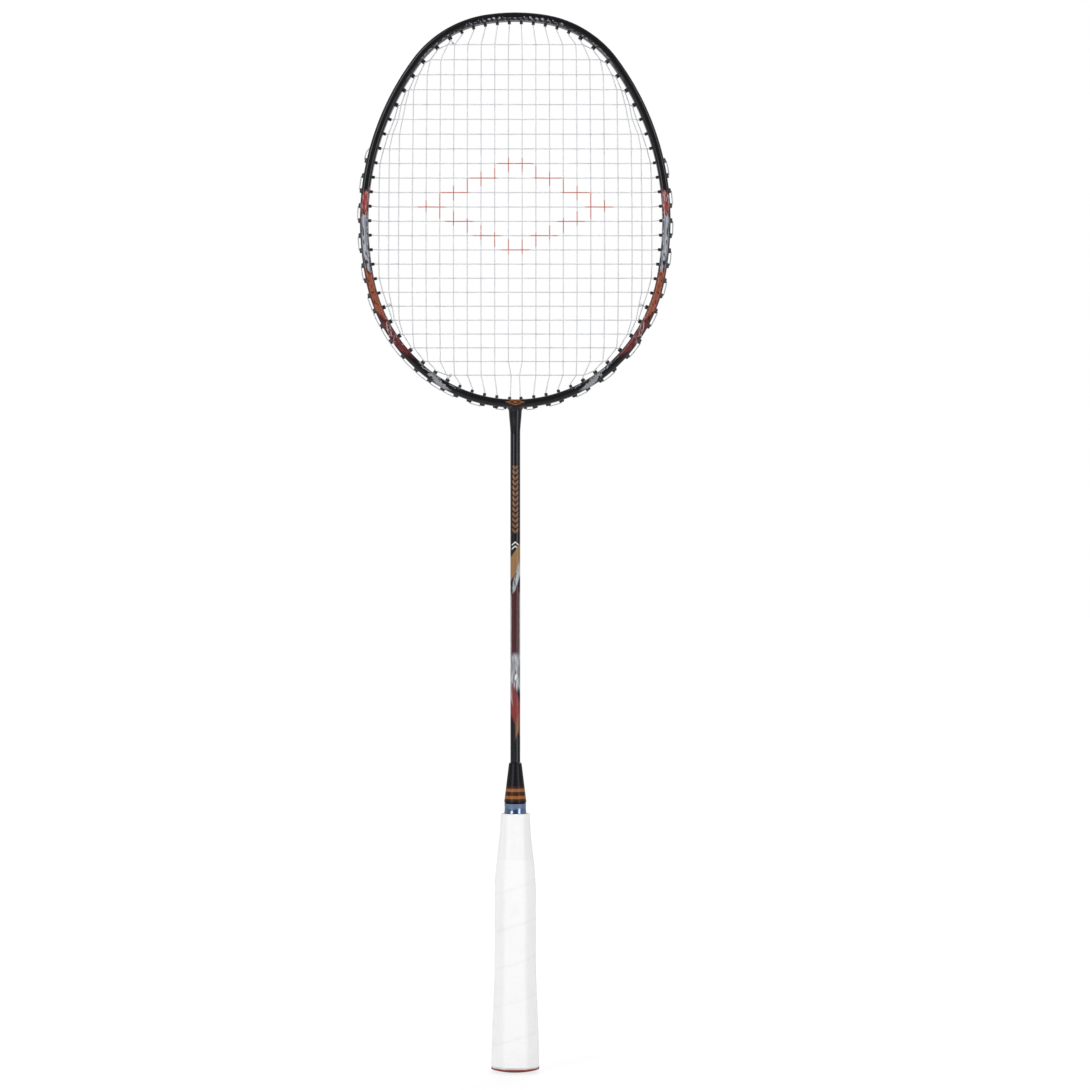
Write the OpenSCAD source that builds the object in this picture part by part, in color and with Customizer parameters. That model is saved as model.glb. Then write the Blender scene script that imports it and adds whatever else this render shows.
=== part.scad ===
// Badminton racket: a hollow carbon head on a slim shaft, strung with two lengths of
// string through plastic grommets, and an eight-sided wooden handle with a wrapped grip.
// The origin is the middle of the butt, +Z runs up to the head, X goes across the head
// and Y goes through its face.

/* [Racket] */
// Length from the butt to the top of the head
racket_l = 675; // [560:1:680]
// Height of the top of the grip
grip_top_z = 164.4; // [140:0.2:190]

/* [Head] */
// Outside width of the head
head_w = 198; // [165:1:230]
// Outside length of the head
head_l = 251.8; // [215:0.2:290]
// Height of the widest line above the lowest point of the outside
belly_z = 119.6; // [105:0.2:135]
// Half angle of the crown arc, as it is on a round head
crown_a = 6.6; // [4:0.1:12]
// Angle where the upper shoulder meets the side, as it is on a round head
shoulder_a = 45.2; // [40:0.1:55]
// Flatness of the upper sides, where 1 is that of an ellipse
upper_flat = 0.977; // [0.9:0.001:1.1]
// Half angle of the bottom arc, as it is on a round head
base_a = 34.7; // [28:0.1:40]
// Angle where the lower shoulder meets the side, as it is on a round head
hip_a = 76.7; // [70:0.1:80]
// Flatness of the lower sides, where 1 is that of an ellipse
lower_flat = 1.394; // [1.2:0.001:1.5]

/* [Frame tube] */
// Thickness of the tube in the plane of the head
tube_t = 5.3; // [4.8:0.1:7]
// Depth of the tube through the face
tube_d = 10.5; // [8:0.1:13]
// Corner radius of the tube
tube_r = 2; // [1.3:0.1:2.3]
// Wall of the tube
tube_wall = 1.1; // [0.8:0.1:1.2]
// Width of the string channel around the upper outside
channel_w = 4.4; // [4:0.1:5]
// Depth of the string channel
channel_depth = 1.6; // [1.2:0.1:1.8]
// Height of the lower ends of the channel above the widest line
channel_end = 42; // [40:0.5:43]

/* [Throat] */
// Diameter of the throat where it meets the tube
throat_d = 8.4; // [7.6:0.1:9]
// Length of the tapering throat below the tube
throat_l = 17; // [12:0.5:25]
// Radius of the fillets between throat and tube
throat_fillet = 2; // [1:0.1:2.5]
// Reach of the inner T-joint to each side
wing_reach = 15; // [12:0.5:18]
// Length of the stem of the T-joint inside the shaft
stem_l = 32; // [20:1:60]

/* [Shaft] */
// Outside diameter of the shaft
shaft_d = 6.3; // [6:0.1:7.4]
// Wall of the shaft
shaft_wall = 1.3; // [1:0.1:1.5]
// Diameter of the thinner upper end that sits in the throat
spigot_d = 5.3; // [5:0.1:5.6]
// Length of the shaft inside the wooden core
shaft_in_core = 80; // [50:1:110]

/* [Handle] */
// Width of the grip at its middle
grip_w = 26.5; // [24:0.1:30]
// Depth of the grip as a part of its width
grip_depth_ratio = 0.906; // [0.85:0.001:1]
// Distance across the slanted flats as a part of the width
grip_slant_ratio = 0.987; // [0.95:0.001:1]
// Thickness of the grip wrap
grip_t = 2; // [1.2:0.1:2.5]
// Extra width of the flared lower end
flare_w = 4; // [2:0.1:6]
// Height over which the lower end flares
flare_l = 80; // [60:1:100]
// Width lost by the taper at the upper end
taper_w = 7.6; // [6:0.1:8]
// Length of that taper
taper_l = 50; // [35:1:60]
// Length of the finishing tape
tape_l = 29.4; // [15:0.2:40]
// Thickness of the finishing tape
tape_t = 0.25; // [0.15:0.05:0.5]

/* [Handle fittings] */
// Height of the butt cap's rim
cap_h = 2.6; // [2:0.1:8]
// Width of the butt cap
cap_w = 31; // [30.8:0.1:36]
// Radius of the butt cap's domed end
dome_r = 60; // [28:1:90]
// Diameter of the flat in the middle of the dome
cap_flat_d = 14; // [8:0.5:18]
// Diameter of the cap's plug in the wooden core
plug_d = 12; // [8:0.5:14]
// Length of that plug
plug_l = 9; // [5:0.5:15]
// Outside diameter of the ring under the cone
ring_d = 14.3; // [13.8:0.1:15.5]
// Height of that ring
ring_h = 6.6; // [4:0.1:9]
// Diameter of the wooden neck inside ring and cone
neck_d = 11; // [10:0.1:11.4]
// Length of the neck inside the cone
neck_in_cone = 4.8; // [3:0.1:6]
// Diameter of the cone at its foot
cone_d = 14.4; // [14:0.1:15.5]
// Diameter of the cone at its tip
cone_tip_d = 8; // [7.6:0.1:9]
// Height of the cone
cone_h = 26; // [20:0.5:35]

/* [Strings] */
// Diameter of the string
string_d = 0.7; // [0.6:0.01:0.85]
// Main strings on each side of the middle
mains = 11; // [11]
// Cross strings
crosses = 24; // [24]
// Gap from the tube to the outermost main string
edge_gap = 6.6; // [5:0.1:8]
// Distance between the outermost three main strings
edge_pitch = 6.3; // [5.5:0.1:7.5]
// How far a main at the tube would bow in towards the top of the head
bow_up = 3; // [0:1:20]
// How far a main at the tube would bow in towards the bottom of the head
bow_down = 5; // [0:1:40]
// Depth of the string bed's widest line below the head's
bow_drop = 22; // [0:1:40]
// Distance from the tube's centre line down to the first cross string
first_cross = 17.5; // [15:0.1:22]
// Distance from the tube's centre line up to the last cross string
last_cross = 18.1; // [15:0.1:22]
// How much wider the upper cross strings are spaced
cross_ease = 0.052; // [0:0.001:0.1]
// Diameter of the knots at the string ends
knot_d = 1.7; // [1.2:0.1:2]

/* [Grommets] */
// Bore of a grommet for one string
bore_d = 1.2; // [1.1:0.1:1.4]
// Bore of a grommet for two strings
wide_bore_d = 1.9; // [1.8:0.1:2.1]
// Wall of a grommet's barrel
barrel_wall = 0.4; // [0.3:0.05:0.6]
// Length of barrel that stands out on the inside
barrel_out = 1.8; // [1:0.1:2.5]
// Diameter of a grommet's outer head
flange_d = 3.6; // [3.5:0.1:5]
// Thickness of that head
flange_t = 1.2; // [0.8:0.05:1.6]
// How much the head's side leans in towards its face
flange_lean = 0.4; // [0:0.05:0.5]
// Thickness of the strips in the channel
strip_t = 0.7; // [0.5:0.05:0.9]
// Width of the strips that lie in the channel
strip_w = 3.8; // [3.5:0.1:4]
// Spacing of the holes at the top as a part of the main strings' spacing
top_draw = 0.9; // [0.85:0.01:1]
// Spacing of the holes at the bottom as a part of the main strings' spacing
base_draw = 0.932; // [0.85:0.001:1]
// Tilt of the two holes beside the throat
throat_tilt = 22; // [15:1:30]

/* [Hidden] */
// Gap at glued and pressed seats
glue_gap = 0.05;
// Gap beside a running string, and from a grommet's mouth to where the string turns
string_gap = 0.05;
mouth_gap = 0.3;
// Facets on full circles
$fn = 96;

// The tube's centre line: half width, height above and below the widest line
line_w = (head_w - tube_t) / 2;
line_up = head_l - belly_z - tube_t / 2;
line_down = belly_z - tube_t / 2;
// Heights of the widest line and of the lowest point of the head
head_z = racket_l - head_l + belly_z;
head_foot_z = racket_l - head_l;

// One quarter of the centre line as three tangent arcs from its pole to the widest
// line: [angles where arcs meet], [radii], [centres as x, z from the widest line]
function quarter(h, a_pole, a_side, flat) = let(
    a1 = atan(tan(a_pole) * h / line_w),
    a2 = atan(tan(a_side) * h / line_w),
    r3 = flat * h * h / line_w,
    bx = line_w - r3 * (1 - sin(a2)),
    bz = h - r3 * cos(a2),
    m = [[sin(a1), sin(a2) - sin(a1)], [1 - cos(a1), cos(a1) - cos(a2)]],
    det = m[0][0] * m[1][1] - m[0][1] * m[1][0],
    r1 = (bx * m[1][1] - bz * m[0][1]) / det,
    r2 = (bz * m[0][0] - bx * m[1][0]) / det,
    c1 = [0, h - r1],
    c2 = c1 + (r1 - r2) * [sin(a1), cos(a1)])
    [[0, a1, a2, 90], [r1, r2, r3], [c1, c2, [line_w - r3, 0]]];

upper = quarter(line_up, crown_a, shoulder_a, upper_flat);
lower = quarter(line_down, base_a, hip_a, lower_flat);

// Point of a quarter at an angle from its pole, moved outwards by off
function on_quarter(q, a, off) = let(i = a < q[0][1] ? 0 : a < q[0][2] ? 1 : 2)
    q[2][i] + (q[1][i] + off) * [sin(a), cos(a)];
// Angle of a quarter's point at a given x, or at a given height from the widest line
function angle_at_x(q, x) = let(
    i = x < on_quarter(q, q[0][1], 0).x ? 0 : x < on_quarter(q, q[0][2], 0).x ? 1 : 2)
    asin((x - q[2][i].x) / q[1][i]);
function angle_at_z(q, z, off = 0) = let(
    i = z > on_quarter(q, q[0][1], off).y ? 0 : z > on_quarter(q, q[0][2], off).y ? 1 : 2)
    acos((z - q[2][i].y) / (q[1][i] + off));

// Point of the right half of the head: angle from the top, distance outwards, depth
function spot(phi, off, y) = let(
    low = phi > 90,
    p = on_quarter(low ? lower : upper, low ? 180 - phi : phi, off))
    [p.x, y, head_z + (low ? -p.y : p.y)];

// The same round the whole head, with angles that are negative or past 180 on the left
function round_spot(t, off, y) = t < 0 ? flip(spot(-t, off, y))
    : t > 180 ? flip(spot(360 - t, off, y)) : spot(t, off, y);

// Sections across the tube, as points [outwards, through the face]
function box_section(inner, outer, depth) =
    [[outer, depth / 2], [inner, depth / 2], [inner, -depth / 2], [outer, -depth / 2]];
function round_section(inner, outer, depth, r, steps) = [for (c = [0 : 3], k = [0 : steps]) let(
    a = 90 * (c + k / steps))
    [(c == 0 || c == 3 ? outer - r : inner + r) + r * cos(a),
     (c < 2 ? 1 : -1) * (depth / 2 - r) + r * sin(a)]];

// Angles of the sections: the tube's, the channel's and those of the hollow inside
tube_turns = [for (i = [0 : 119]) i * 3];
tube_section = round_section(-tube_t / 2, tube_t / 2, tube_d, tube_r, 3);
channel_phi = angle_at_z(upper, channel_end);
channel_cuts = 47;
channel_turns = [for (i = [0 : channel_cuts]) (2 * i / channel_cuts - 1) * channel_phi];
channel_section = box_section(tube_t / 2 - channel_depth, tube_t / 2 + 1, channel_w);
void_step = 5;
void_turns = [for (i = [0 : 360 / void_step - 1]) i * void_step];
void_r = 0.6;
function void_section(t, inset) = let(
    half = tube_t / 2 - tube_wall - inset,
    by_channel = min(t, 360 - t) < channel_phi + void_step)
    round_section(-half, half - (by_channel ? channel_depth : 0),
                  tube_d - 2 * tube_wall - 2 * inset, void_r, 1);

// Main strings run evenly, but for the outermost three, and bow in towards both ends of
// the head, clear of the grommets. Cross strings close up downwards.
pole_holes = 6;
holes = crosses + 2 * pole_holes;
wide_mains = mains - 2;
main_pitch = (line_w - tube_t / 2 - edge_gap - 2 * edge_pitch) / (wide_mains - 0.5);
function rest_x(j) = main_pitch * (min(j, wide_mains) - 0.5) + edge_pitch * max(0, j - wide_mains);
barrel_room = 1.6;
edge_room = 2.4;
function clear_x(z, inside) = let(
    q = z > 0 ? upper : lower,
    off = -tube_t / 2 - barrel_out - barrel_room - edge_room * inside)
    abs(z) < on_quarter(q, 0, off).y ? on_quarter(q, angle_at_z(q, abs(z), off), off).x : line_w;
function cross_reach(k) = min(mains, k + pole_holes - 1, crosses - k + pole_holes);
function main_x(j, k) = let(
    z = cross_z(k) - head_z,
    rise = z + bow_drop,
    bow = (rise > 0 ? bow_up : bow_down) * pow(rise * rest_x(j) / (line_up * line_w), 2))
    min(rest_x(j) - bow, clear_x(z, cross_reach(k) - j));
cross_span = line_up + line_down - first_cross - last_cross;
function cross_z(k) = let(t = (k - 1) / (crosses - 1))
    head_z + line_up - first_cross - cross_span * (t + cross_ease * t * (1 - t));

// Holes of one side are counted from the top. Those of the poles are spaced by their x,
// and those of the sides by their height, from the first to the last hole of a side run.
base_holes = 9;
side_last = holes - base_holes;
side_gap_top = 16.8;
side_gap_base = 41.3;
side_pitch = (line_up + line_down - side_gap_top - side_gap_base) / (side_last - pole_holes - 1);
lean_x = tube_t / 2 * tan(throat_tilt);
function tilt(n) = n == holes ? throat_tilt : 0;
function hole_phi(n) = n <= pole_holes ? angle_at_x(upper, top_draw * main_pitch * (n - 0.5))
    : n > side_last ? 180 - angle_at_x(lower, base_draw * main_pitch * (holes + 0.5 - n)
                                              + (tilt(n) > 0 ? lean_x : 0))
    : let(z = line_up - side_gap_top - side_pitch * (n - pole_holes - 1))
      z > 0 ? angle_at_z(upper, z) : 180 - angle_at_z(lower, -z);
phis = [for (n = [0 : holes]) n == 0 ? 0 : hole_phi(n)];

// Holes that take two strings: those shared by mains and crosses, and the tie-off holes
shared = mains - pole_holes;
function is_wide(n) = (n >= pole_holes && n <= mains)
    || (n >= holes - mains && n <= holes + 1 - pole_holes);
function barrel_d(n) = (is_wide(n) ? wide_bore_d : bore_d) + 2 * barrel_wall;
function in_channel(n) = phis[n] < channel_phi;
// Distances of a grommet's seat and of its outer face from the centre line
function seat(n) = tube_t / 2 - (in_channel(n) ? channel_depth : 0);
function face(n) = seat(n) + (in_channel(n) ? strip_t : flange_t);

// Runs of holes: strips in the channel, then single grommets
strip_top_last = 8;
strip_side_last = max([for (n = [1 : holes]) in_channel(n) ? n : 0]);
side_run_last = holes - mains - 1;
// Angles where the strip over the crown meets those at the sides, and where these end,
// and the space between two strips
strip_break = (phis[strip_top_last] + phis[strip_top_last + 1]) / 2;
strip_end = (phis[strip_side_last] + channel_phi) / 2;
strip_space = 1.2;
lower_run_last = holes - pole_holes;

// A string's place in a hole: mains to the front and crosses to the back of wide holes
string_r = string_d / 2;
pair_y = string_r + 1.4 * string_gap;
weave_y = string_r + 0.4 * string_gap;
function along_axis(n, d, y) = let(
    p = spot(phis[n], 0, y),
    a = phis[n] - tilt(n))
    p + d * [sin(a), 0, cos(a)];
function hole_out(n, y) = along_axis(n, (face(n) + string_r + string_gap) / cos(tilt(n)), y);
function hole_in(n, y) = along_axis(n, -tube_t / 2 - barrel_out - mouth_gap, y);
function hole_y(n, way) = is_wide(n) ? way * pair_y : 0;
function loop_mid(n, m, way) = let(
    off = max(face(n), face(m)) + string_r + string_gap)
    spot((phis[n] + phis[m]) / 2, off, (hole_y(n, way) + hole_y(m, way)) / 2);
function flip(p) = [-p.x, p.y, p.z];
function backwards(v) = [for (i = [len(v) - 1 : -1 : 0]) v[i]];

// The main string's right half: down the first main, up the second, and so on, then
// back in through the tie-off hole to its knot
function first_for(j) = max(1, j - pole_holes + 1);
function over(i, k) = (i + k) % 2 == 0 ? weave_y : -weave_y;
function main_down(j) = concat(
    [hole_out(j, hole_y(j, -1)), hole_in(j, hole_y(j, -1))],
    [for (k = [first_for(j) : crosses + 1 - first_for(j)]) [main_x(j, k), over(j, k), cross_z(k)]],
    [hole_in(holes + 1 - j, hole_y(holes + 1 - j, -1)),
     hole_out(holes + 1 - j, hole_y(holes + 1 - j, -1))]);
function main_link(j) = j % 2 == 0 ? loop_mid(j, j + 1, -1) : loop_mid(holes + 1 - j, holes - j, -1);
// A knot lies in front of or behind the bed, with its neck, two fat rings and a tip
knot_steps = [1.4, 2.2, 3, 3.5];
knot_y = 0.9 * knot_d;
function knot_end(n, way) = let(base = -tube_t / 2 - barrel_out - mouth_gap)
    [hole_out(n, way * pair_y), hole_in(n, way * pair_y),
     along_axis(n, base - knot_steps[0], way * (pair_y + knot_y) / 2),
     for (i = [1 : 3]) along_axis(n, base - knot_steps[i], way * knot_y)];
main_half = concat(
    [for (j = [1 : mains]) each concat(j % 2 == 1 ? main_down(j) : backwards(main_down(j)),
                                       j < mains ? [main_link(j)] : [])],
    [loop_mid(holes + 1 - mains, holes - mains, -1)],
    knot_end(holes - mains, -1));
main_left = [for (p = backwards(main_half)) [-p.x, over_left(p), p.z]];
// The weave carries on over the middle, so left mains mirror to the other face
function over_left(p) = abs(abs(p.y) - weave_y) < 0.001 ? -p.y : p.y;
loop_off_top = face(1) + string_r + string_gap;
main_route = concat(main_left, [spot(0, loop_off_top, 0)], main_half);

// The cross string: from its knot on the left, to the right and back again down the head.
function cross_right(k) = let(
    n = k + pole_holes,
    m = cross_reach(k),
    z = cross_z(k))
    concat([for (i = [1 - m : m]) [i > 0 ? main_x(i, k) : -main_x(1 - i, k), -over(i, k), z]],
           [hole_in(n, hole_y(n, 1)), hole_out(n, hole_y(n, 1))]);
function cross_run(k) = let(n = k + pole_holes)
    concat([flip(hole_out(n, hole_y(n, 1))), flip(hole_in(n, hole_y(n, 1)))], cross_right(k));
function cross_link(k) = let(p = loop_mid(k + pole_holes, k + pole_holes + 1, 1))
    k % 2 == 1 ? p : flip(p);
cross_route = concat(
    [for (p = backwards(knot_end(pole_holes, 1))) flip(p)],
    [flip(loop_mid(pole_holes, pole_holes + 1, 1))],
    [for (k = [1 : crosses]) each concat(k % 2 == 1 ? cross_run(k) : backwards(cross_run(k)),
                                         k < crosses ? [cross_link(k)] : [])],
    [flip(loop_mid(holes - pole_holes, holes - pole_holes + 1, 1))],
    [for (p = knot_end(holes - pole_holes + 1, 1)) flip(p)]);

// Handle: half distance across the flats that face a direction, at a height
function ramp(u) = (1 - cos(180 * min(1, max(0, u)))) / 2;
function grip_half(z) = grip_w / 2 + flare_w / 2 * ramp(1 - z / flare_l)
    - taper_w / 2 * ramp((z - grip_top_z + taper_l) / taper_l);
function flat_ratio(a) = a == 0 ? 1 : a == 90 ? grip_depth_ratio : grip_slant_ratio;
grip_steps = 16;

// Heights up the handle
tape_z = grip_top_z - tape_l;
ring_top_z = grip_top_z + ring_h;
cone_tip_z = ring_top_z + cone_h;
neck_top_z = ring_top_z + neck_in_cone;
shaft_foot_z = grip_top_z - shaft_in_core;
spigot_z = head_foot_z - throat_l;
shaft_top_z = head_foot_z - 1;
// Slack behind the plug's end, and the depth of tools that cut right through
plug_slack = 0.5;
past = 1;

// Solid swept round the head through sections set at angles from the top, which are
// negative on the left or run on past 180. A closed ring's last section joins its first.
module swept(turns, sections, closed) {
    rings = len(turns);
    sides = len(sections[0]);
    points = [for (i = [0 : rings - 1], p = sections[i]) round_spot(turns[i], p[0], p[1])];
    walls = [for (i = [0 : closed ? rings - 1 : rings - 2], s = [0 : sides - 1]) let(
        a = i * sides + s,
        b = i * sides + (s + 1) % sides,
        c = ((i + 1) % rings) * sides + s,
        d = ((i + 1) % rings) * sides + (s + 1) % sides)
        each [[a, b, c], [b, d, c]]];
    end = (rings - 1) * sides;
    caps = closed ? [] : [for (s = [1 : sides - 2]) each [[0, s + 1, s], [end, end + s, end + s + 1]]];
    polyhedron(points, concat(walls, caps));
}
module swept_evenly(turns, section, closed) {
    swept(turns, [for (t = turns) section], closed);
}

// Places children at a hole: +Z outwards along its axis, origin on the centre line
module at_hole(n, side) {
    mirror([side, 0, 0]) translate(spot(phis[n], 0, 0)) rotate([0, phis[n] - tilt(n), 0]) children();
}
module string_holes(first, last) {
    for (side = [0, 1], n = [first : last])
        at_hole(n, side)
            cylinder(d = barrel_d(n) + 2 * glue_gap, h = tube_t + 4 * past, center = true, $fn = 24);
}

module throat() {
    up = tube_t / 2;
    translate([0, 0, spigot_z]) cylinder(d1 = shaft_d, d2 = throat_d, h = throat_l);
    translate([0, 0, head_foot_z]) cylinder(d = throat_d, h = up);
    for (side = [0, 1])
        mirror([side, 0, 0]) translate([throat_d / 2 - up / 2, throat_d / 2 - up / 2, head_foot_z])
            rotate([90, 0, 0]) linear_extrude(throat_d - up) difference() {
                translate([0, -throat_fillet]) square([throat_fillet + up / 2, throat_fillet + up / 2]);
                translate([throat_fillet + up / 2, -throat_fillet]) circle(throat_fillet, $fn = 48);
            }
}

module head_frame() {
    color("#1b1b20") difference() {
        union() {
            swept_evenly(tube_turns, tube_section, true);
            throat();
        }
        swept_evenly(channel_turns, channel_section, false);
        swept(void_turns, [for (t = void_turns) void_section(t, 0)], true);
        string_holes(1, holes);
        translate([0, 0, spigot_z - past])
            cylinder(d = spigot_d + 2 * glue_gap, h = shaft_top_z + glue_gap - spigot_z + past);
        translate([0, 0, shaft_top_z - past])
            cylinder(d = shaft_d - 2 * shaft_wall + glue_gap, h = tube_t / 2 + 2 * past);
    }
}

// Wings in the hollow of the tube and a stem in the bore of the shaft
module t_joint() {
    wings = round(angle_at_x(lower, wing_reach) / void_step);
    color("#b9bcc0") difference() {
        union() {
            swept_evenly([for (i = [-wings : wings]) 180 + i * void_step],
                         void_section(180, glue_gap), false);
            translate([0, 0, shaft_top_z - stem_l])
                cylinder(d = shaft_d - 2 * shaft_wall - 2 * glue_gap, h = stem_l + tube_t / 2 + 1);
        }
        string_holes(holes - 1, holes);
    }
}

module shaft() {
    color("#3a2a2e") difference() {
        union() {
            translate([0, 0, shaft_foot_z]) cylinder(d = shaft_d, h = spigot_z - shaft_foot_z);
            translate([0, 0, spigot_z]) cylinder(d = spigot_d, h = shaft_top_z - spigot_z);
        }
        translate([0, 0, shaft_foot_z - past])
            cylinder(d = shaft_d - 2 * shaft_wall, h = shaft_top_z - shaft_foot_z + 2 * past);
    }
}

// Eight-sided bar as long as the grip, each flat set in from the grip's surface, and
// carried on by some length past both ends
module handle_bar(inset, ends) {
    step = (grip_top_z - cap_h) / grip_steps;
    heights = [for (i = [0 : grip_steps]) cap_h + i * step];
    function edge(a, side) = concat(
        [[side * (grip_half(cap_h) * flat_ratio(a) - inset), cap_h - ends]],
        [for (z = heights) [side * (grip_half(z) * flat_ratio(a) - inset), z]],
        [[side * (grip_half(grip_top_z) * flat_ratio(a) - inset), grip_top_z + ends]]);
    intersection_for (a = [0, 45, 90, 135])
        rotate([90, 0, a]) linear_extrude(2 * grip_w, center = true)
            polygon(concat(edge(a, 1), backwards(edge(a, -1))));
}
// Everything above the foot of the finishing tape
module tape_zone() {
    translate([-grip_w, -grip_w, tape_z]) cube([2 * grip_w, 2 * grip_w, tape_l + past]);
}

module handle_core() {
    color("#d8b98a") difference() {
        union() {
            handle_bar(grip_t + glue_gap, 0);
            translate([0, 0, grip_top_z - past])
                cylinder(d = neck_d, h = neck_top_z - grip_top_z + past);
        }
        translate([0, 0, shaft_foot_z])
            cylinder(d = shaft_d + 2 * glue_gap, h = neck_top_z - shaft_foot_z + past);
        translate([0, 0, cap_h - past])
            cylinder(d = plug_d + 2 * glue_gap, h = plug_l + plug_slack + past);
    }
}

module cone_cap() {
    color("#15141a") translate([0, 0, ring_top_z]) difference() {
        cylinder(d1 = cone_d, d2 = cone_tip_d, h = cone_h);
        translate([0, 0, -past]) cylinder(d = shaft_d + 2 * glue_gap, h = cone_h + 2 * past);
        translate([0, 0, -past])
            cylinder(d = neck_d + 2 * glue_gap, h = neck_in_cone + glue_gap + past);
    }
}

// Ring with a shallow waist
module cone_ring() {
    waist = 0.35;
    color("#5d6c86") translate([0, 0, grip_top_z]) difference() {
        cylinder(d = ring_d, h = ring_h);
        translate([0, 0, -past]) cylinder(d = neck_d + 2 * glue_gap, h = ring_h + 2 * past);
        translate([0, 0, ring_h / 2]) rotate_extrude()
            translate([ring_d / 2 + ring_h - waist, 0]) circle(ring_h, $fn = 96);
    }
}

module butt_cap() {
    half = cap_w / 2;
    drop = dome_r - sqrt(dome_r * dome_r - cap_flat_d * cap_flat_d / 4);
    color("#7d3b30") {
        intersection() {
            intersection_for (a = [0, 45, 90, 135])
                rotate([90, 0, a]) linear_extrude(2 * cap_w, center = true)
                    translate([-half * flat_ratio(a), 0]) square([cap_w * flat_ratio(a), cap_h]);
            translate([0, 0, dome_r - drop]) sphere(dome_r, $fn = 128);
        }
        translate([0, 0, cap_h - past]) cylinder(d = plug_d, h = plug_l + past);
    }
}

module base_grip() {
    color("#f2f2f0") difference() {
        handle_bar(0, 0);
        handle_bar(grip_t, past);
        difference() {
            tape_zone();
            handle_bar(tape_t + glue_gap, past);
        }
    }
}

module finishing_tape() {
    color("#fafaf8") difference() {
        intersection() {
            handle_bar(0, 0);
            tape_zone();
        }
        handle_bar(tape_t, past);
    }
}

// A round string along a route, one ring a point, mitred where it turns. Ends with a
// knot carry three wider rings.
module string_tube(route) {
    sides = 6;
    n = len(route);
    function unit(v) = v / norm(v);
    function ring_r(i) = let(e = min(i, n - 1 - i)) e == 1 || e == 2 ? knot_d / 2 : string_r;
    points = [for (i = [0 : n - 1]) let(
        after = unit(route[min(i + 1, n - 1)] - route[min(i, n - 2)]),
        before = unit(route[max(i, 1)] - route[max(i - 1, 0)]),
        t = unit(before + after),
        side = unit(cross(t, [0, 1, 0])),
        up = cross(side, t),
        mitre = 1 / (t * after),
        r = ring_r(i))
        each [for (s = [0 : sides - 1]) let(a = (s + 0.5) * 360 / sides)
            route[i] + r * (cos(a) * mitre * side + sin(a) * up)]];
    faces = concat(
        [[for (s = [sides - 1 : -1 : 0]) s]],
        [for (i = [0 : n - 2], s = [0 : sides - 1]) let(
            a = i * sides + s,
            b = i * sides + (s + 1) % sides)
            each [[a, b, a + sides], [b, b + sides, a + sides]]],
        [[for (s = [0 : sides - 1]) (n - 1) * sides + s]]);
    polyhedron(points, faces);
}

module main_string() { color("#c9cbcf") string_tube(main_route); }
module cross_string() { color("#bfc2c6") string_tube(cross_route); }

// Barrel from the inside of the head up into the head or strip on its seat, and its bore
module barrel(n) {
    translate([0, 0, -tube_t / 2 - barrel_out])
        cylinder(d = barrel_d(n), h = tube_t / 2 + barrel_out + (seat(n) + face(n)) / 2, $fn = 24);
}
module bore(n) {
    cylinder(d = barrel_d(n) - 2 * barrel_wall, h = 2 * (tube_t + barrel_out + past),
             center = true, $fn = 24);
}

// Strip in the channel over holes of one or both sides, from one angle to another
module channel_strip(first, last, sides, from, to) {
    inner = [for (t = channel_turns) if (t > from + strip_space / 2 && t < to - strip_space / 2) t];
    color("#101012") difference() {
        union() {
            swept_evenly(concat([from], inner, [to]),
                         box_section(seat(1), face(1), strip_w), false);
            for (side = sides, n = [first : last]) at_hole(n, side) barrel(n);
        }
        for (side = sides, n = [first : last]) at_hole(n, side) bore(n);
    }
}

// Single grommet: a round head outside, or a plain sleeve where the axis is tilted
module grommet(n) {
    difference() {
        union() {
            barrel(n);
            if (tilt(n) == 0)
                translate([0, 0, seat(n)])
                    cylinder(d1 = flange_d, d2 = flange_d - 2 * flange_lean, h = flange_t, $fn = 32);
            else
                cylinder(d = barrel_d(n), h = seat(n) + flange_t, $fn = 24);
        }
        bore(n);
    }
}
module grommets(first, last, sides) {
    color("#101012") for (side = sides, n = [first : last]) at_hole(n, side) grommet(n);
}

module grommet_strip_top() {
    channel_strip(1, strip_top_last, [0, 1],
                  strip_space / 2 - strip_break, strip_break - strip_space / 2);
}
module grommet_strip_left() {
    channel_strip(strip_top_last + 1, strip_side_last, [1],
                  -strip_end, -strip_break - strip_space / 2);
}
module grommet_strip_right() {
    channel_strip(strip_top_last + 1, strip_side_last, [0],
                  strip_break + strip_space / 2, strip_end);
}
module side_grommets_left() { grommets(strip_side_last + 1, side_run_last, [1]); }
module side_grommets_right() { grommets(strip_side_last + 1, side_run_last, [0]); }
module lower_grommets_left() { grommets(side_run_last + 1, lower_run_last, [1]); }
module lower_grommets_right() { grommets(side_run_last + 1, lower_run_last, [0]); }
module throat_grommets() { grommets(lower_run_last + 1, holes, [0, 1]); }

head_frame();
t_joint();
shaft();
handle_core();
cone_cap();
cone_ring();
butt_cap();
base_grip();
finishing_tape();
main_string();
cross_string();
grommet_strip_top();
grommet_strip_left();
grommet_strip_right();
side_grommets_left();
side_grommets_right();
lower_grommets_left();
lower_grommets_right();
throat_grommets();
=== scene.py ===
import math

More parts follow.
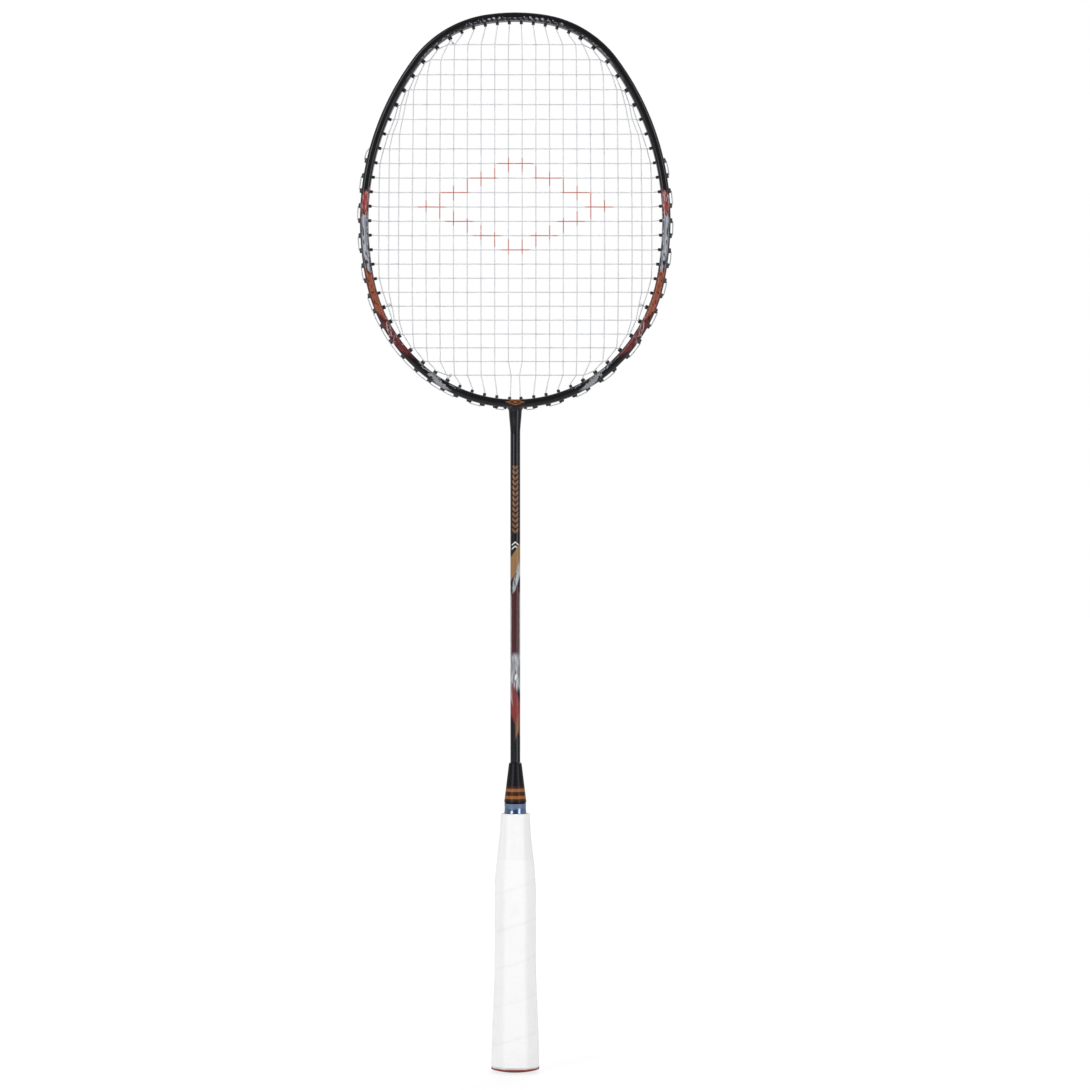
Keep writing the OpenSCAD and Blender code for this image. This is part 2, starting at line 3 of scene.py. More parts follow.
import bmesh
import bpy
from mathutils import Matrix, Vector


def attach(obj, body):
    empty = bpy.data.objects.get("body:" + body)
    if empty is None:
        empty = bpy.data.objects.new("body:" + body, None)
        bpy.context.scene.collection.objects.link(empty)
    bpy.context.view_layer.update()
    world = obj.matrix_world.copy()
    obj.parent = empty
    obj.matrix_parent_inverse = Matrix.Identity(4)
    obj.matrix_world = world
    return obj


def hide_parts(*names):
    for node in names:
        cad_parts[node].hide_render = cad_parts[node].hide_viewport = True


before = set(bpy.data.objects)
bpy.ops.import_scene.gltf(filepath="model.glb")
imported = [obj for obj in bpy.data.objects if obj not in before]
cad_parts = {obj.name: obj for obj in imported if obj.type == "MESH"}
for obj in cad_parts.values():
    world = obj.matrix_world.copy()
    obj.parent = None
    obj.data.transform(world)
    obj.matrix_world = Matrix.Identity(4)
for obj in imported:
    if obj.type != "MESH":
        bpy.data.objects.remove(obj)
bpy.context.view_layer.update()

MM = 0.001

# Camera and room: square to the face of the head, a little to its right, over a plain
# pale floor. The room is white to the camera. To the object it is a soft grey, darker on the
# camera's side, and the floor's glow is for the camera only.
scene = bpy.context.scene
view_distance = 2.3
view_width = 0.6954
camera = bpy.data.objects.new("camera", bpy.data.cameras.new("camera"))
scene.collection.objects.link(camera)
camera.location = (0.01895, -view_distance, 0.3356)
camera.rotation_euler = (math.pi / 2, 0, 0)
camera.data.sensor_width = 36
camera.data.lens = 36 * view_distance / view_width
scene.camera = camera
scene.view_settings.view_transform = "Standard"


class Shade:
    """A number on its way through a material's nodes, so that shader maths reads as sums."""

    def __init__(self, finish, socket):
        self.finish = finish
        self.socket = socket

    def maths(self, operation, *values):
        return self.finish.node("ShaderNodeMath", {"operation": operation}, dict(enumerate(values)))

    def __add__(self, other):
        return self.maths("ADD", self, other)

    def __radd__(self, other):
        return self.maths("ADD", other, self)

    def __sub__(self, other):
        return self.maths("SUBTRACT", self, other)

    def __rsub__(self, other):
        return self.maths("SUBTRACT", other, self)

    def __mul__(self, other):
        return self.maths("MULTIPLY", self, other)

    def __rmul__(self, other):
        return self.maths("MULTIPLY", other, self)

    def __truediv__(self, other):
        return self.maths("DIVIDE", self, other)

    def __abs__(self):
        return self.maths("ABSOLUTE", self)

    def __mod__(self, other):
        return self.maths("FLOORED_MODULO", self, other)

    def __gt__(self, other):
        return self.maths("GREATER_THAN", self, other)

    def __lt__(self, other):
        return self.maths("LESS_THAN", self, other)

    def least(self, other):
        return self.maths("MINIMUM", self, other)

    def most(self, other):
        return self.maths("MAXIMUM", self, other)

    def sine(self):
        return self.maths("SINE", self)


class Finish:
    """A material and its nodes. What is even all over is set on the shader's own sockets."""

    def __init__(self, name, **even):
        self.material = bpy.data.materials.new(name)
        self.material.use_nodes = True
        self.tree = self.material.node_tree
        self.shader = self.tree.nodes["Principled BSDF"]
        for socket, value in even.items():
            self.shader.inputs[self.called(socket)].default_value = value

    def called(self, socket):
        return socket.replace("_", " ").title().replace("Ior", "IOR")

    def node(self, kind, settings, sockets, out=0):
        made = self.tree.nodes.new(kind)
        for key, value in settings.items():
            setattr(made, key, value)
        for key, value in sockets.items():
            if isinstance(value, Shade):
                self.tree.links.new(value.socket, made.inputs[key])
            else:
                made.inputs[key].default_value = value
        return Shade(self, made.outputs[out])

    def feed(self, **sockets):
        for key, value in sockets.items():
            self.tree.links.new(value.socket, self.shader.inputs[self.called(key)])

    def place(self):
        return self.node("ShaderNodeTexCoord", {}, {}, "Object")

    def axes(self):
        split = self.node("ShaderNodeSeparateXYZ", {}, {0: self.place()})
        return [Shade(self, split.socket.node.outputs[i]) * (1 / MM) for i in range(3)]

    def own(self, name):
        return self.node("ShaderNodeAttribute", {"attribute_name": name}, {}, "Fac")

    def noise(self, size_mm, detail=2.0, stretch=(1, 1, 1), rough=0.5):
        scaled = self.node("ShaderNodeVectorMath", {"operation": "MULTIPLY"},
                           {0: self.place(), 1: tuple(s / (size_mm * MM) for s in stretch)})
        return self.node("ShaderNodeTexNoise", {}, {"Vector": scaled, "Scale": 1.0,
                                                    "Detail": detail, "Roughness": rough}, "Fac")

    def slope(self, value, low, high, to_low=0.0, to_high=1.0):
        """A soft step: to_low below low, to_high above high."""
        return self.node("ShaderNodeMapRange", {"interpolation_type": "SMOOTHSTEP"},
                         {0: value, 1: low, 2: high, 3: to_low, 4: to_high})

    def between(self, value, low, high, soft):
        risen = self.slope(value, low - soft, low + soft)
        return risen * self.slope(value, high - soft, high + soft, 1.0, 0.0)

    def mix(self, one, two, amount, blend="MIX"):
        return self.node("ShaderNodeMix", {"data_type": "RGBA", "blend_type": blend},
                         {0: amount, 6: one, 7: two}, 2)

    def bumps(self, *heights_mm):
        """Each pair is a height from 0 to 1 and how many millimetres that stands up."""
        normal = None
        for height, size in heights_mm:
            sockets = {"Height": height, "Distance": size * MM, "Strength": 1.0}
            if normal:
                sockets["Normal"] = normal
            normal = self.node("ShaderNodeBump", {}, sockets)
        self.feed(normal=normal)


def rgb(r, g, b):
    """A colour written as it looks, turned into the light it gives back."""
    shares = [c / 255 for c in (r, g, b)]
    return tuple(c / 12.92 if c <= 0.04045 else ((c + 0.055) / 1.055) ** 2.4 for c in shares) + (1,)


world = bpy.data.worlds.new("room")
world.use_nodes = True
scene.world = world
nodes, links = world.node_tree.nodes, world.node_tree.links
seen = nodes.new("ShaderNodeLightPath")
heading, parts = nodes.new("ShaderNodeTexCoord"), nodes.new("ShaderNodeSeparateXYZ")
dim, strength = nodes.new("ShaderNodeMapRange"), nodes.new("ShaderNodeMix")
links.new(heading.outputs["Generated"], parts.inputs[0])
links.new(parts.outputs["Y"], dim.inputs["Value"])
for socket, value in (("From Min", -0.9), ("From Max", 0.2), ("To Min", 0.16), ("To Max", 0.6)):
    dim.inputs[socket].default_value = value
links.new(seen.outputs["Is Camera Ray"], strength.inputs["Factor"])
links.new(dim.outputs["Result"], strength.inputs["A"])
strength.inputs["B"].default_value = 1.0
nodes["Background"].inputs["Color"].default_value = (1, 1, 1, 1)
links.new(strength.outputs["Result"], nodes["Background"].inputs["Strength"])

floor = bpy.data.objects.new("floor", bpy.data.meshes.new("floor"))
scene.collection.objects.link(floor)
reach, below = 14.0, -0.0003
floor_corners = [(x * reach, y * reach, below) for x, y in ((-1, -1), (1, -1), (1, 1), (-1, 1))]
floor.data.from_pydata(floor_corners, [], [(0, 1, 2, 3)])
pale = Finish("floor_pale", roughness=0.8, emission_strength=1.0)
grain = pale.noise(40, 3)
away = pale.node("ShaderNodeVectorMath", {"operation": "LENGTH"}, {0: pale.place()}, "Value")
in_view = pale.node("ShaderNodeLightPath", {}, {}, "Is Camera Ray")
# the camera-only glow is weaker close to the racket: a painted shade round its foot on the floor
glow = pale.slope(away, 0.05, 0.6, 0.8, 0.9) * in_view
paper = pale.mix(rgb(234, 234, 234), rgb(240, 240, 240), grain)
pale.feed(base_color=pale.mix(paper, rgb(112, 112, 112), in_view),
          emission_color=pale.mix((0, 0, 0, 1), (1, 1, 1, 1), glow))
floor.data.materials.append(pale.material)

for name, place, size, power in (("key", (-1.7, -2.2, 1.5), (1.2, 2.4), 46),
                                 ("fill", (1.9, -1.9, 0.8), (1.0, 2.4), 31),
                                 ("back", (0.3, 2.2, 1.9), (2.0, 1.2), 20)):
    lamp = bpy.data.objects.new(name, bpy.data.lights.new(name, "AREA"))
    scene.collection.objects.link(lamp)
    lamp.data.shape = "RECTANGLE"
    lamp.data.size, lamp.data.size_y = size
    lamp.data.energy = power
    lamp.location = place
    lamp.rotation_euler = (Vector((0, 0, 0.34)) - Vector(place)).to_track_quat("-Z", "Y").to_euler()

# Head frame: a hollow carbon tube, moulded to a closed head with its throat, filled, sprayed
# in colour zones and given a thick clear coat. A channel for the grommet strips runs round
# the upper outside and fades out at the sides.
racket_l, head_w, head_l, belly_z = 675, 198, 251.8, 119.6
tube_t, tube_d, tube_r = 5.3, 10.5, 2
channel_w, channel_depth, channel_end = 4.4, 1.6, 42
throat_d, throat_l, shaft_d = 8.4, 17, 6.3
line_w = (head_w - tube_t) / 2
line_up = head_l - belly_z - tube_t / 2
line_down = belly_z - tube_t / 2
head_z = racket_l - head_l + belly_z
head_foot_z = racket_l - head_l
spigot_z = head_foot_z - throat_l


def quarter(height, pole_deg, side_deg, flat):
    """Three tangent arcs from a pole to the widest line: angles, radii, centres."""
    first = math.atan(math.tan(math.radians(pole_deg)) * height / line_w)
    second = math.atan(math.tan(math.radians(side_deg)) * height / line_w)
    r3 = flat * height * height / line_w
    bx = line_w - r3 * (1 - math.sin(second))
    bz = height - r3 * math.cos(second)
    m00, m01 = math.sin(first), math.sin(second) - math.sin(first)
    m10, m11 = 1 - math.cos(first), math.cos(first) - math.cos(second)
    det = m00 * m11 - m01 * m10
    r1, r2 = (bx * m11 - bz * m01) / det, (bz * m00 - bx * m10) / det
    c1 = (0, height - r1)
    c2 = (c1[0] + (r1 - r2) * math.sin(first), c1[1] + (r1 - r2) * math.cos(first))
    return [first, second], [r1, r2, r3], [c1, c2, (line_w - r3, 0)]


upper = quarter(line_up, 6.6, 45.2, 0.977)
lower = quarter(line_down, 34.7, 76.7, 1.394)


def on_quarter(arcs, angle, out=0.0):
    """A point of a quarter at an angle from its pole, moved outwards."""
    turns, radii, centres = arcs
    i = 0 if angle < turns[0] else 1 if angle < turns[1] else 2
    r = radii[i] + out
    return centres[i][0] + r * math.sin(angle), centres[i][1] + r * math.cos(angle)


def spot(phi, out=0.0, y=0.0):
    """A point round the head, at phi from the top, negative on the left."""
    side, turn = (-1, -phi) if phi < 0 else (1, phi)
    low = turn > math.pi / 2
    x, z = on_quarter(lower if low else upper, math.pi - turn if low else turn, out)
    return Vector((side * x, y, head_z + (-z if low else z)))


def angle_at(arcs, value, axis, out=0.0):
    """The angle of a quarter's point at a given x (axis 0) or height (axis 1)."""
    low, high = 0.0, math.pi / 2
    for _ in range(50):
        mid = (low + high) / 2
        at = on_quarter(arcs, mid, out)[axis]
        if (at < value) == (axis == 0):
            low = mid
        else:
            high = mid
    return low


def smooth(t):
    t = min(1, max(0, t))
    return t * t * (3 - 2 * t)


def put(name, points, faces, material, sharp_deg=38):
    """Makes a finished piece from points in millimetres: one body, outward faces, smooth
    but for its sharp edges."""
    mesh = bpy.data.meshes.new(name)
    mesh.from_pydata([Vector(p) * MM for p in points], [], faces)
    made = bmesh.new()
    made.from_mesh(mesh)
    bmesh.ops.remove_doubles(made, verts=made.verts, dist=1e-7)
    bmesh.ops.recalc_face_normals(made, faces=made.faces)
    for face in made.faces:
        face.smooth = True
    for edge in made.edges:
        if edge.is_manifold and edge.calc_face_angle(0) > math.radians(sharp_deg):
            edge.smooth = False
    made.to_mesh(mesh)
    made.free()
    piece = bpy.data.objects.new(name, mesh)
    scene.collection.objects.link(piece)
    mesh.materials.append(material)
    return piece


def loft(rings, closed=False):
    """Faces between rings of like points, each ring a list, and the points as one list."""
    points = [p for ring in rings for p in ring]
    n, count = len(rings[0]), len(rings)
    faces = []
    for i in range(count if closed else count - 1):
        for s in range(n):
            a, b = i * n + s, i * n + (s + 1) % n
            c, d = (i + 1) % count * n + s, (i + 1) % count * n + (s + 1) % n
            faces.append((a, b, d, c))
    if not closed:
        faces += [tuple(range(n))[::-1], tuple(range((count - 1) * n, count * n))]
    return points, faces


channel_phi = angle_at(upper, channel_end, 1)
fade_phi = math.radians(5)
corner_steps = 6


def tube_ring(phi):
    """The tube's section with its channel, whose depth fades out at the channel's ends."""
    depth = channel_depth * (1 - smooth((abs(phi) - channel_phi + fade_phi) / fade_phi))
    section = []
    for corner in range(4):
        sign_out = 1 if corner in (0, 3) else -1
        sign_y = 1 if corner < 2 else -1
        for k in range(corner_steps + 1):
            a = math.radians(90 * (corner + k / corner_steps))
            section.append((sign_out * (tube_t / 2 - tube_r) + tube_r * math.cos(a),
                            sign_y * (tube_d / 2 - tube_r) + tube_r * math.sin(a)))
    half, lip = channel_w / 2, min(1, depth / 0.3)
    for y, drop in ((-half - 0.3, 0), (-half - 0.05, 0.06 * lip), (-half + 0.1, depth),
                    (half - 0.1, depth), (half + 0.05, 0.06 * lip), (half + 0.3, 0)):
        section.append((tube_t / 2 - drop, y))
    return [spot(phi, out, y) for out, y in section], [out / (tube_t / 2) for out, y in section]


hoop_rings = 480
hoop, across = [], []
for i in range(hoop_rings):
    phi = (i + 0.5) / hoop_rings * 2 * math.pi
    ring, outs = tube_ring(phi if phi <= math.pi else phi - 2 * math.pi)
    hoop.append(ring)
    across += outs
hoop_points, hoop_faces = loft(hoop, closed=True)

# The throat grows out of the tube's foot in soft fillets and tapers to the shaft
fillet, neck_sides, fillet_top = 2.8, 64, head_foot_z + 0.25
heights = [spigot_z + (fillet_top - fillet - spigot_z) * i / 10 for i in range(11)]
heights += [fillet_top - fillet * math.cos(math.radians(a)) for a in range(9, 91, 9)]
heights += [head_foot_z + 2.4]
neck = []
for z in heights:
    r = shaft_d / 2 + (throat_d - shaft_d) / 2 * smooth((z - spigot_z) / throat_l)
    rise = min(fillet, max(0, z - fillet_top + fillet))
    flare = fillet - math.sqrt(max(0, fillet * fillet - rise * rise))
    neck.append([Vector(((r + flare) * math.cos(a), (r + 0.25 * flare) * math.sin(a), z))
                 for a in (2 * math.pi * s / neck_sides for s in range(neck_sides))])
neck_points, neck_faces = loft(neck)
neck_faces = [tuple(k + len(hoop_points) for k in f) for f in neck_faces]

frame_paint = Finish("frame_paint", coat_roughness=0.05, coat_ior=1.4, specular_ior_level=0.12)
black = rgb(8, 8, 11)


def clear_coat_wear(paint):
    """Faint orange peel and a few hairline scuffs, as on any sprayed and handled racket."""
    peel = paint.noise(0.9, 2)
    scuffs = paint.slope(paint.noise(1.3, 5, (1, 1, 0.12), 0.7), 0.62, 0.78)
    dust = paint.slope(paint.noise(7, 4), 0.55, 0.8)
    paint.bumps((peel, 0.012), (scuffs, 0.006))
    return scuffs, dust


def paint_hoop(paint):
    """The head's colour zones, by height, with edges that run aslant across the tube."""
    x, y, z = paint.axes()
    out = paint.own("across")
    flecks = paint.noise(0.35, 3, rough=0.7)
    streaks = paint.noise(1.0, 4, (1, 1, 0.16), 0.6)
    # painted_edge_shade darkens the silver, red, brick and maroon towards the tube's two edges: painted shade
    # where the round tube turns away
    painted_edge_shade = paint.slope(abs(out - 0.05), 0.3, 0.85)
    silver = paint.mix(rgb(132, 135, 144), rgb(38, 40, 48), painted_edge_shade)
    # a painted highlight: a light streak along the silver's outer half
    silver = paint.mix(silver, rgb(198, 199, 204), paint.between(out + streaks - 0.5, -0.1, 0.35, 0.12) * 0.5)
    colour = paint.mix(black, rgb(24, 24, 29), flecks)

    def lay(over, mask):
        nonlocal colour
        colour = paint.mix(colour, over, mask)

    inner_edge_highlight, red_zone, silver_zone = (634, 664), (546, 561), (509, 547)
    brick_zone, maroon_zone, swoosh_zone = (480, 509), (457, 480), (434.5, 454)
    badge_z, crown_foot, crown_reach = 426.6, 640, 31
    slant = z + out * 3
    # a painted highlight: a thin light band along the tube's inner edge at the shoulders
    lay(rgb(150, 152, 158), paint.between(z, *inner_edge_highlight, 5) * paint.between(out, -0.86, -0.6, 0.07) * 0.8)
    red = paint.mix(rgb(150, 62, 56), rgb(64, 28, 32), painted_edge_shade)
    red = paint.mix(red, rgb(168, 162, 168), paint.slope(streaks, 0.52, 0.62) * 0.85)
    lay(red, paint.between(slant, *red_zone, 1.2))
    lay(silver, paint.between(slant, *silver_zone, 1.5))
    # the brick is darkened by painted shade at the tube's edges and by smoky streaks in the paint
    edge_shade_and_smoke = (painted_edge_shade * 0.8 + paint.slope(streaks, 0.5, 0.75) * 0.35).least(1)
    brick = paint.mix(rgb(144, 78, 56), rgb(58, 30, 26), edge_shade_and_smoke)
    lay(brick, paint.between(z - out * 4, *brick_zone, 2))
    # the maroon is darkened by painted shade at the tube's edges and by streaks in the paint
    lay(paint.mix(rgb(112, 44, 44), rgb(46, 22, 26), (painted_edge_shade * 0.7 + streaks * 0.4).least(1)),
        paint.between(z - out * 4, *maroon_zone, 3))
    for at, width in ((475, 0.5), (470.5, 0.35)):
        lay(rgb(188, 186, 190), paint.between(z - at + out * 7, -width, width, 0.3) * 0.85)
    swoosh = paint.between(out + (z - 445) / 9, -0.75, 0.1, 0.12) * paint.between(z, *swoosh_zone, 1.5)
    lay(paint.mix(rgb(158, 160, 164), rgb(104, 106, 112), streaks), swoosh)
    # a row of slanted dashes along the crown, and a plain lozenge at the throat
    crown = paint.between(abs(x), -1, crown_reach, 1) * (z > crown_foot)
    dash = paint.between((x + z * 0.6) % 3.4, 0.5, 2.3, 0.2) * paint.between(out, -0.42, -0.02, 0.08)
    lay(rgb(176, 177, 186), dash * crown * (0.5 + flecks * 0.6))
    badge = abs(x) / 6.5 + abs(z - badge_z) / 2.1
    lay(paint.mix(rgb(150, 92, 50), rgb(92, 52, 30), flecks), paint.between(badge, 0.55, 1.0, 0.08))
    lay(rgb(150, 96, 56), paint.between(badge, -1, 0.28, 0.06))
    return colour


scuffs, dust = clear_coat_wear(frame_paint)
frame_paint.feed(base_color=frame_paint.mix(paint_hoop(frame_paint), rgb(120, 120, 122), scuffs * 0.16),
                 roughness=0.3 + dust * 0.12 + scuffs * 0.2,
                 coat_weight=0.6 - scuffs * 0.25)
head = put("head_shell", hoop_points + neck_points, hoop_faces + neck_faces, frame_paint.material)
across_the_tube = head.data.attributes.new("across", "FLOAT", "POINT")
head_lookup = {tuple(round(c, 4) for c in p): a for p, a in zip(hoop_points, across)}
for i, vertex in enumerate(head.data.vertices):
    key = tuple(round(c / MM, 4) for c in vertex.co)
    across_the_tube.data[i].value = head_lookup.get(key, 1.0)
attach(head, "root")
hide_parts("head_frame")

# T-joint: a small forged alloy piece glued inside the tube and the shaft, which the frame
# hides. It is bead-blasted so that the glue holds.
joint_alloy = Finish("joint_alloy", metallic=1.0)
blast = joint_alloy.noise(0.25, 3)
joint_alloy.feed(base_color=joint_alloy.mix(rgb(168, 170, 174), rgb(198, 200, 204), blast),
                 roughness=0.36 + blast * 0.2)
joint_alloy.bumps((blast, 0.02))
t_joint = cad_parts["t_joint"]
t_joint.data.materials.clear()
t_joint.data.materials.append(joint_alloy.material)

# Shaft: a slim filament-wound carbon tube, ground round, sprayed black and banded in copper,
# maroon and silver under the same clear coat as the head.
shaft_wall, spigot_d = 1.3, 5.3
shaft_foot_z, shaft_top_z = 84.4, head_foot_z - 1


def turned(profile, sides, centre=(0, 0)):
    """Rings of a turned piece from (radius, height) pairs."""
    return [[Vector((centre[0] + r * math.cos(a), centre[1] + r * math.sin(a), z))
             for a in (2 * math.pi * (s + 0.5) / sides for s in range(sides))] for r, z in profile]


shaft_paint = Finish("shaft_paint", coat_roughness=0.05, coat_ior=1.4, specular_ior_level=0.12)


def paint_tube(paint):
    """The shaft's bands, by height, some with edges that wind round it."""
    x, y, z = paint.axes()
    flecks = paint.noise(0.35, 3, rough=0.7)
    streaks = paint.noise(0.9, 4, (1, 1, 0.12), 0.6)
    silver = paint.mix(rgb(112, 114, 122), rgb(196, 197, 202), paint.slope(streaks, 0.3, 0.7))
    copper = paint.mix(rgb(150, 106, 72), rgb(92, 62, 44), flecks)
    colour = paint.mix(black, rgb(28, 28, 35), flecks)

    def lay(over, mask):
        nonlocal colour
        colour = paint.mix(colour, over, mask)

    copper_zone, tan_zone, slash_zone, maroon_zone = (343, 386), (317, 332), (306.5, 317), (265, 307)
    silver_zone, red_zone, gold_zone = (243, 266), (221, 243), (211, 221)
    # stacked copper chevrons, a plain geometric trim
    stack = (z - 342 - abs(x) * 0.9) % 3.4
    trim = paint.between(stack, 0.7, 2.8, 0.2) * paint.slope(abs(x), 1.9, 2.15, 1.0, 0.0)
    lay(copper, trim * paint.between(z, *copper_zone, 0.5) * (0.55 + flecks * 0.6))
    chevron = (z - 336.5 + abs(x) * 0.9) % 2.6
    pair = paint.between(z + abs(x) * 0.9, 334.4, 339.2, 0.2) * (abs(x) < 2.2)
    lay(rgb(214, 214, 212), paint.between(chevron, 0.5, 1.5, 0.2) * pair)
    lay(paint.mix(rgb(164, 128, 86), rgb(122, 90, 60), streaks), paint.between(z - x * 1.5, *tan_zone, 1))
    lay(silver, paint.between(z - x * 3.2, *slash_zone, 1) * paint.slope(streaks + x * 0.08, 0.3, 0.55))
    lay(paint.mix(rgb(84, 40, 42), rgb(56, 28, 32), streaks), paint.between(z - x, *maroon_zone, 1.5))
    lay(silver, paint.between(z, 266, 305, 2) * paint.slope(abs(x), 2.0, 2.6) * 0.75)
    lay(silver, paint.between(z, *silver_zone, 2) * paint.slope(streaks, 0.3, 0.55, 0.45, 1.0))
    glint = abs(x - 0.3) / 0.9 + abs(z - 251 - x * 1.2) / 2.4
    lay(rgb(226, 226, 226), paint.slope(glint, 0.85, 1.05, 1.0, 0.0))
    lay(paint.mix(rgb(146, 56, 52), rgb(104, 44, 48), streaks), paint.between(z + x * 2.5, *red_zone, 1.5))
    left_edge = paint.slope(x + (z - 232) * 0.03, -1.9, -1.4, 0.7, 0.0)
    lay(silver, paint.between(z + x * 5, 224, 247, 1) * left_edge)
    lay(copper, paint.between(z - x * 3.2, *gold_zone, 1.2) * paint.slope(x, -0.6, 0.8))
    return colour


scuffs, dust = clear_coat_wear(shaft_paint)
shaft_paint.feed(base_color=shaft_paint.mix(paint_tube(shaft_paint), rgb(120, 120, 122), scuffs * 0.14),
                 roughness=0.28 + dust * 0.12 + scuffs * 0.2,
                 coat_weight=0.6 - scuffs * 0.25)
bore_r = shaft_d / 2 - shaft_wall
shaft_r, spigot_r, end_chamfer, shoulder_chamfer = shaft_d / 2, spigot_d / 2, 0.15, 0.1
long_run = spigot_z - shoulder_chamfer - shaft_foot_z
shaft_profile = [(bore_r, shaft_foot_z), (shaft_r - end_chamfer, shaft_foot_z),
                 (shaft_r, shaft_foot_z + end_chamfer)]
shaft_profile += [(shaft_r, shaft_foot_z + long_run * i / 40) for i in range(1, 41)]
shaft_profile += [(shaft_r - shoulder_chamfer, spigot_z), (spigot_r, spigot_z),
                  (spigot_r, shaft_top_z - end_chamfer), (spigot_r - end_chamfer, shaft_top_z),
                  (bore_r, shaft_top_z)]
points, faces = loft(turned(shaft_profile, 48), closed=True)
shaft = put("shaft_tube", points, faces, shaft_paint.material)
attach(shaft, "root")
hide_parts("shaft")

# Strings: two lengths of braided nylon, 0.7 mm thick. The mains are threaded first and drawn
# tight, the crosses are woven through them, and each length ends in two knots at its grommets.
string_d, mains, crosses = 0.7, 11, 24
string_r, string_gap, mouth_gap = string_d / 2, 0.05, 0.3
edge_gap, edge_pitch = 6.6, 6.3
bow_up, bow_down, bow_drop = 3, 5, 22
first_cross, last_cross, cross_ease = 17.5, 18.1, 0.052
knot_d, knot_steps = 1.7, (1.4, 2.2, 3, 3.5)
flange_t, strip_t, barrel_out, barrel_room, edge_room = 1.2, 0.7, 1.8, 1.6, 2.4
top_draw, base_draw, throat_tilt = 0.9, 0.932, math.radians(22)
pole_holes, base_holes = 6, 9
holes = crosses + 2 * pole_holes
side_last = holes - base_holes
side_gap_top, side_gap_base = 16.8, 41.3
side_pitch = (line_up + line_down - side_gap_top - side_gap_base) / (side_last - pole_holes - 1)
wide_mains = mains - 2
main_pitch = (line_w - tube_t / 2 - edge_gap - 2 * edge_pitch) / (wide_mains - 0.5)


def tilt(n):
    return throat_tilt if n == holes else 0


def hole_phi(n):
    if n <= pole_holes:
        return angle_at(upper, top_draw * main_pitch * (n - 0.5), 0)
    if n > side_last:
        lean = tube_t / 2 * math.tan(throat_tilt) if tilt(n) else 0
        return math.pi - angle_at(lower, base_draw * main_pitch * (holes + 0.5 - n) + lean, 0)
    z = line_up - side_gap_top - side_pitch * (n - pole_holes - 1)
    return angle_at(upper, z, 1) if z > 0 else math.pi - angle_at(lower, -z, 1)


phis = [0] + [hole_phi(n) for n in range(1, holes + 1)]


def is_wide(n):
    return pole_holes <= n <= mains or holes - mains <= n <= holes + 1 - pole_holes


def face(n):
    """How far out the top of a grommet's head or strip stands."""
    return tube_t / 2 + (strip_t - channel_depth if phis[n] < channel_phi else flange_t)


def along_axis(n, d, y):
    turn = phis[n] - tilt(n)
    return spot(phis[n], 0, y) + d * Vector((math.sin(turn), 0, math.cos(turn)))


pair_y, weave_y, knot_y = string_r + 1.4 * string_gap, string_r + 0.4 * string_gap, 0.9 * knot_d
string_seat = string_r + string_gap
mouth = -tube_t / 2 - barrel_out - mouth_gap


def hole_y(n, way):
    return way * pair_y if is_wide(n) else 0


def hole_out(n, way):
    return along_axis(n, (face(n) + string_seat) / math.cos(tilt(n)), hole_y(n, way))


def hole_in(n, way):
    return along_axis(n, mouth, hole_y(n, way))


def loop_mid(n, m, way):
    out = max(face(n), face(m)) + string_seat
    return spot((phis[n] + phis[m]) / 2, out, (hole_y(n, way) + hole_y(m, way)) / 2)


def cross_z(k):
    t = (k - 1) / (crosses - 1)
    span = line_up + line_down - first_cross - last_cross
    return head_z + line_up - first_cross - span * (t + cross_ease * t * (1 - t))


def cross_reach(k):
    return min(mains, k + pole_holes - 1, crosses - k + pole_holes)


def main_x(j, k):
    rest = main_pitch * (min(j, wide_mains) - 0.5) + edge_pitch * max(0, j - wide_mains)
    z = cross_z(k) - head_z
    rise = z + bow_drop
    bow = (bow_up if rise > 0 else bow_down) * (rise * rest / (line_up * line_w)) ** 2
    arcs = upper if z > 0 else lower
    out = mouth + mouth_gap - barrel_room - edge_room * (cross_reach(k) - j)
    if abs(z) > on_quarter(arcs, 0, out)[1]:
        return rest - bow
    return min(rest - bow, on_quarter(arcs, angle_at(arcs, abs(z), 1, out), out)[0])


def over(i, k):
    return weave_y if (i + k) % 2 == 0 else -weave_y


def mirrored(p, y=None):
    return Vector((-p.x, p.y if y is None else y, p.z))


def main_down(j):
    start = max(1, j - pole_holes + 1)
    end = holes + 1 - j
    return ([hole_out(j, -1), hole_in(j, -1)]
            + [Vector((main_x(j, k), over(j, k), cross_z(k))) for k in range(start, crosses + 2 - start)]
            + [hole_in(end, -1), hole_out(end, -1)])


def knot_end(n, way):
    base = mouth
    return ([hole_out(n, way), hole_in(n, way),
             along_axis(n, base - knot_steps[0], way * (pair_y + knot_y) / 2)]
            + [along_axis(n, base - knot_steps[i], way * knot_y) for i in (1, 2, 3)])


main_half = []
for j in range(1, mains + 1):
    run = main_down(j)
    main_half += run if j % 2 == 1 else run[::-1]
    if j < mains:
        main_half.append(loop_mid(j, j + 1, -1) if j % 2 == 0 else loop_mid(holes + 1 - j, holes - j, -1))
main_half.append(loop_mid(holes + 1 - mains, holes - mains, -1))
main_half += knot_end(holes - mains, -1)
main_left = [mirrored(p, -p.y if abs(abs(p.y) - weave_y) < 0.001 else p.y) for p in main_half[::-1]]
main_route = main_left + [spot(0, face(1) + string_seat)] + main_half


def cross_run(k):
    n, m, z = k + pole_holes, cross_reach(k), cross_z(k)
    woven = []
    for i in range(1 - m, m + 1):
        x = main_x(i, k) if i > 0 else -main_x(1 - i, k)
        woven.append(Vector((x, -over(i, k), z)))
    return [mirrored(hole_out(n, 1)), mirrored(hole_in(n, 1))] + woven + [hole_in(n, 1), hole_out(n, 1)]


